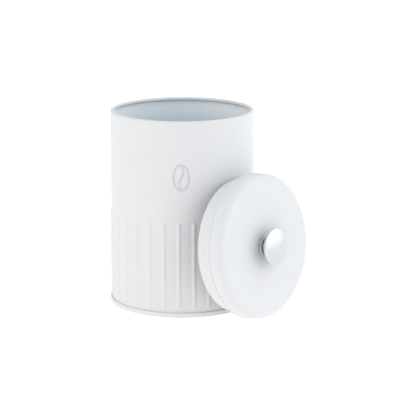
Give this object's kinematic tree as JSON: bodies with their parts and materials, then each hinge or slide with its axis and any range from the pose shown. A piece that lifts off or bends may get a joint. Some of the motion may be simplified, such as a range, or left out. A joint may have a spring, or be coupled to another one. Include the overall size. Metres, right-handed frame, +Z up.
{
  "type": "coffee tin",
  "caption": "Cylindrical white steel storage tin with vertical ribs, a rolled rim and a seamed base, its push-in lid with a metal mushroom knob leaning against its side.",
  "frame": {"origin": "centre of the tin's base, on the table", "axes": "+Z up along the tin's axis, -Y towards the printed mark, +X towards the side that the lid leans on"},
  "size_m": [0.1519, 0.1529, 0.1505],
  "materials": {
    "white_coat": "satin powder coat",
    "grey_ink": "matt screen print",
    "silicone": "translucent white silicone",
    "polished_metal": "polished chrome",
    "zinc_plate": "bright zinc plate"
  },
  "bodies": {
    "tin": {"body_shell": "white_coat", "base_end": "white_coat", "printed_mark": "grey_ink"},
    "lid": {"lid_shell": "white_coat", "lid_plug": "white_coat", "seal_ring": "silicone", "knob_collar": "polished_metal", "knob": "polished_metal", "knob_screw": "zinc_plate", "screw_washer": "zinc_plate"}
  },
  "joints": [
    {"name": "lid_lift", "type": "slide", "parent": "tin", "child": "lid", "axis": [0, 0, 1], "range_m": [0, 0.2]}
  ]
}
